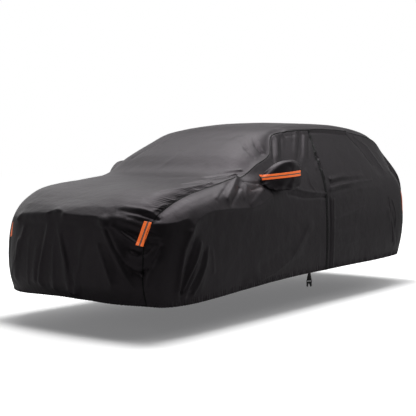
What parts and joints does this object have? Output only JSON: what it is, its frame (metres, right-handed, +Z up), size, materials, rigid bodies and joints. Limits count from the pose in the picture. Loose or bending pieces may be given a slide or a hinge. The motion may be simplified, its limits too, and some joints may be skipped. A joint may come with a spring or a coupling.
{
  "type": "fitted car cover",
  "caption": "Fitted cloth cover for a five-door car: hollow body with mirror pockets, a side zip, reflective strips and a hem strap with a buckle half.",
  "frame": {"origin": "on the under side of the roof cloth, at its crown on the middle plane, where the cover is held", "axes": "+Z up, the nose points along -Y, the zip side is +X"},
  "size_m": [2.0885, 4.7211, 1.5645],
  "materials": {
    "cloth": "plain woven polyester, soft sheen",
    "zip_tape": "woven tape with a coil chain",
    "reflective_tape": "orange tape with a dull centre line",
    "webbing": "woven webbing",
    "buckle_plastic": "moulded"
  },
  "bodies": {
    "root": {"panel_centre": "cloth", "panel_left_front": "cloth", "panel_left_rear": "cloth", "panel_right": "cloth", "mirror_pocket_left": "cloth", "mirror_pocket_right": "cloth", "zip_left": "zip_tape", "strip_nose_left": "reflective_tape", "strip_nose_right": "reflective_tape", "strip_tail_left": "reflective_tape", "strip_tail_right": "reflective_tape", "strip_mirror_left": "reflective_tape", "strip_mirror_right": "reflective_tape", "strap_left": "webbing", "buckle_left": "buckle_plastic"}
  },
  "joints": []
}
